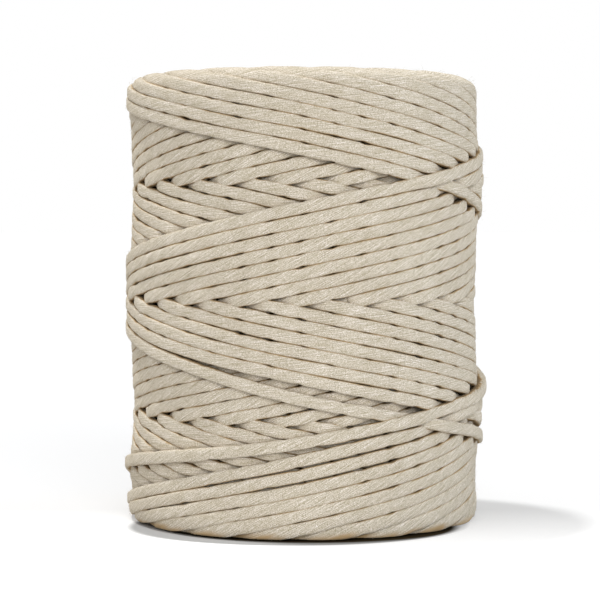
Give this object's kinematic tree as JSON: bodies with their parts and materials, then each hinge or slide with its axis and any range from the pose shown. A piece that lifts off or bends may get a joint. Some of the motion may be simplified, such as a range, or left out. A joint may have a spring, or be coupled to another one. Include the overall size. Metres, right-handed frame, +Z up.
{
  "type": "cord spool",
  "caption": "Cylindrical spool of soft natural cord, cross-wound on a cardboard tube, with a through bore for a peg.",
  "frame": {"origin": "middle of the foot, on the surface that the spool stands on", "axes": "+Z up along the tube's axis; -Y faces the picture's camera"},
  "size_m": [0.1106, 0.1106, 0.137],
  "materials": {
    "tube_cardboard": "matt grey-brown spiral-wound cardboard",
    "cord_cotton": "soft undyed cotton cord, matt, with a light twist"
  },
  "bodies": {
    "root": {"core_tube": "tube_cardboard", "inner_winding": "cord_cotton", "outer_winding": "cord_cotton"}
  },
  "joints": []
}
